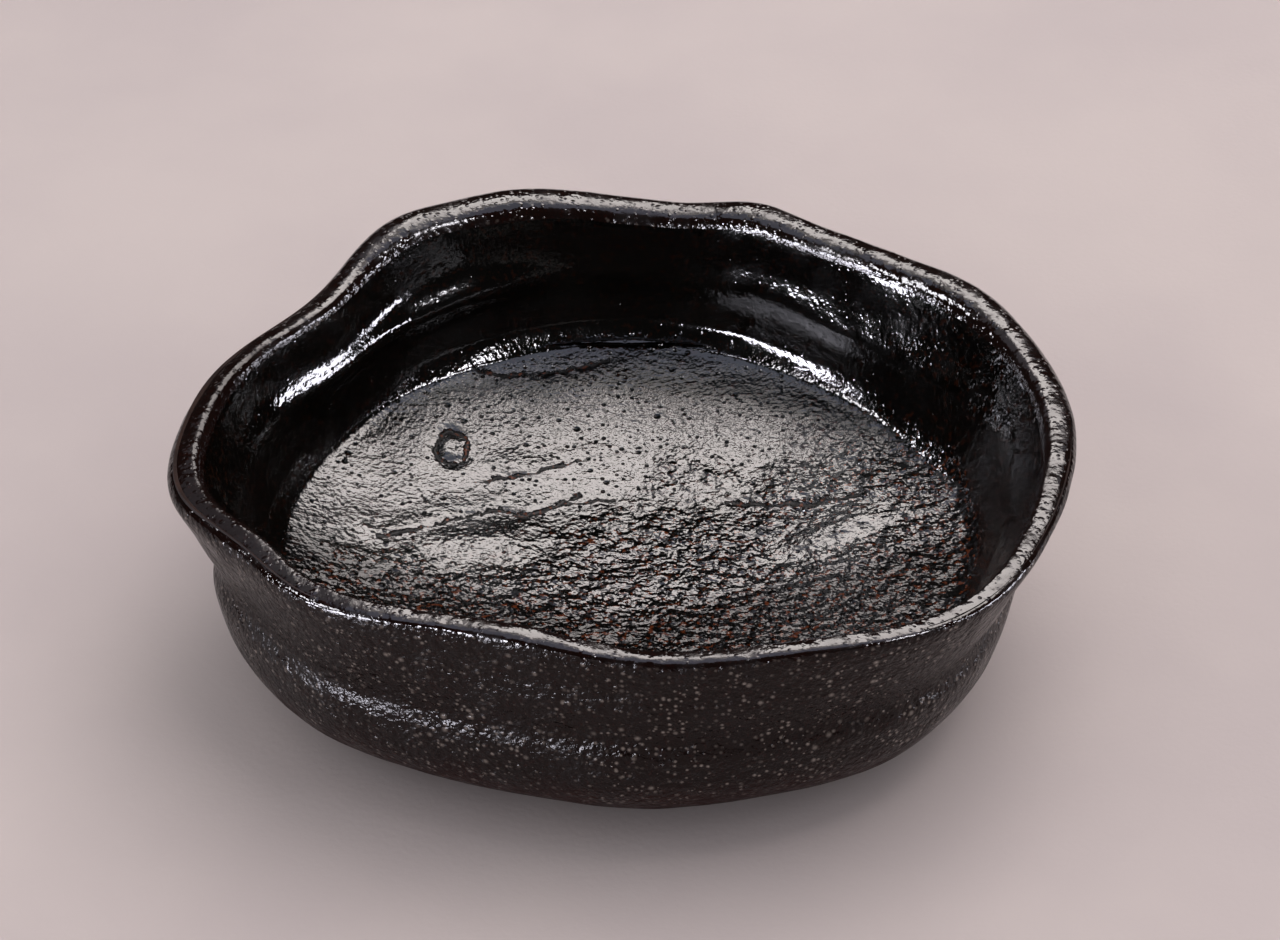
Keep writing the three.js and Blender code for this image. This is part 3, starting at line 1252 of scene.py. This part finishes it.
@dataclass(frozen=True)
class Lamp:
    """A flat soft light, placed by its bearing and elevation in degrees as seen from the bowl.

    Bearings run from the right-hand end (+X) round by the back (+Y). Sizes are in metres.
    """

    name: str
    role: Role
    bearing: float
    elevation: float
    away: float
    size: Point
    radiance: float
    colour: str

    def hang(self) -> None:
        """Adds the light."""
        across = math.cos(math.radians(self.elevation))
        towards = Vector(
            (
                math.cos(math.radians(self.bearing)) * across,
                math.sin(math.radians(self.bearing)) * across,
                math.sin(math.radians(self.elevation)),
            )
        )
        turn = (-towards).to_track_quat("-Z", "Y").to_euler()
        bpy.ops.object.light_add(type="AREA", location=towards * self.away, rotation=turn)
        lamp = bpy.context.object
        lamp.name = self.name
        lamp.data.shape = "RECTANGLE"
        lamp.data.size, lamp.data.size_y = self.size
        lamp.data.color = linear(self.colour)[:3]
        lamp.data.energy = self.radiance * math.pi * self.size[0] * self.size[1]
        lamp.visible_camera = False
        lamp.visible_diffuse = self.role is Role.SHADE
        lamp.visible_glossy = self.role is Role.REFLECTION


LAMPS = (
    Lamp("softbox_core", Role.REFLECTION, 70, 50.7, 1.3, (0.95, 0.46), 7.2, "#fff6f2"),
    Lamp("softbox_rim", Role.REFLECTION, 79, 55.5, 1.3, (0.95, 0.74), 1.9, "#fff6f2"),
    Lamp("back_wall_glow", Role.REFLECTION, 100, 50, 1.4, (2.4, 0.6), 0.6, "#f4f2ff"),
    Lamp("overhead_sheet", Role.REFLECTION, 90, 84, 1.5, (1.3, 0.9), 1.5, "#dfe4ff"),
    Lamp("left_window", Role.REFLECTION, 191, 42, 1.3, (0.52, 0.3), 27, "#fbf8ff"),
    Lamp("right_window", Role.REFLECTION, 328, 50, 1.3, (0.26, 0.3), 44, "#fbf8ff"),
    Lamp("right_panel", Role.REFLECTION, 356, 9, 1.2, (0.6, 0.24), 26, "#f4f2ff"),
    Lamp("left_panel", Role.REFLECTION, 222, 11, 1.2, (0.7, 0.44), 52, "#f4f2ff"),
    Lamp("left_strip", Role.REFLECTION, 197, 12, 1.2, (0.1, 0.1), 24, "#f4f2ff"),
    Lamp("key", Role.SHADE, 35, 70, 1.6, (1.3, 1.3), 2.35, "#fff5f2"),
)


@dataclass
class Studio:
    """A plain pale floor, soft lights and the camera.

    Places and distances are in metres, the lens and the sensor in millimetres.
    """

    elevation: float = 38.0
    lens: float = 100.0
    sensor: float = 36.0
    distance: float = 0.622
    aim: Size = (0.0026, 0.01087, 0.025)
    floor_reach: float = 4.0
    fill: str = "#f6f0f0"
    fill_level: float = 0.6
    mirrored_level: float = 0.03
    backdrop: str = "#cdc3c2"

    def build(self, paper: bpy.types.Material) -> None:
        """Lays the floor, hangs the lights and sets the camera.

        Args:
            paper: The floor's material.
        """
        bpy.ops.object.select_all(action="DESELECT")
        bpy.ops.mesh.primitive_circle_add(vertices=96, radius=self.floor_reach, fill_type="NGON")
        floor = bpy.context.object
        floor.name = "paper_floor"
        floor.data.materials.append(paper)
        for lamp in LAMPS:
            lamp.hang()
        self.light_room()
        self.set_camera()
        bpy.context.scene.view_settings.view_transform = "Standard"

    def light_room(self) -> None:
        """Fills the shadows, stays dark in the glaze, and shows a pale backdrop beyond the floor."""
        world = bpy.data.worlds.new("pale_room")
        bpy.context.scene.world = world
        world.use_nodes = True
        tree = world.node_tree
        tree.nodes.clear()
        path = add_node(tree, "ShaderNodeLightPath")
        seen = path.outputs["Is Camera Ray"]
        colours = {"Factor": seen, 6: linear(self.fill), 7: linear(self.backdrop)}
        colour = add_node(tree, "ShaderNodeMix", colours, data_type="RGBA").outputs[2]
        glossy = path.outputs["Is Glossy Ray"]
        unseen_levels = {"Value": glossy, "To Min": self.fill_level, "To Max": self.mirrored_level}
        unseen = add_node(tree, "ShaderNodeMapRange", unseen_levels).outputs[0]
        levels = {"Value": seen, "To Min": unseen, "To Max": 1.0}
        level = add_node(tree, "ShaderNodeMapRange", levels).outputs[0]
        light = add_node(tree, "ShaderNodeBackground", {"Color": colour, "Strength": level})
        add_node(tree, "ShaderNodeOutputWorld", {"Surface": light.outputs[0]})

    def set_camera(self) -> None:
        """Sets the camera at the photograph's angle."""
        tilt = math.radians(self.elevation)
        back = Vector((0, -math.cos(tilt), math.sin(tilt)))
        place = Vector(self.aim) + back * self.distance
        turn = (-back).to_track_quat("-Z", "Y").to_euler()
        bpy.ops.object.camera_add(location=place, rotation=turn)
        camera = bpy.context.object
        camera.name = "view_camera"
        camera.data.sensor_width = self.sensor
        camera.data.lens = self.lens
        camera.data.clip_start = 0.01
        bpy.context.scene.camera = camera


def dress(piece: bpy.types.Object, node: str, material: bpy.types.Material) -> None:
    """Gives a finished piece its material and smooth shading, and hides the CAD node that it replaces.

    Args:
        piece: The piece.
        node: The CAD node that it replaces.
        material: Its material.
    """
    piece.data.materials.clear()
    piece.data.materials.append(material)
    select_only(piece)
    bpy.ops.object.shade_smooth_by_angle(angle=math.radians(40))
    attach(piece, "root")
    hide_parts(node)
    triangles = sum(len(face.vertices) - 2 for face in piece.data.polygons)
    log.info("%s: %d triangles, %s", piece.name, triangles, material.name)


def main() -> None:
    """Builds the bowl piece by piece, and the studio around it."""
    logging.basicConfig(level=logging.INFO, format="%(message)s")
    inside = InsideGlaze().material()
    outside = OutsideGlaze().material()
    stoneware = FiredStoneware().material()
    outer, inner = GlazeCoats().build(outside, inside)
    dress(outer, "outside_glaze", outside)
    dress(inner, "inside_glaze", inside)
    dress(ClayBody().build(), "clay_body", stoneware)
    dress(FootRing().build(), "foot_ring", stoneware)
    Studio().build(BackdropPaper().material())


if __name__ == "__main__":
    main()
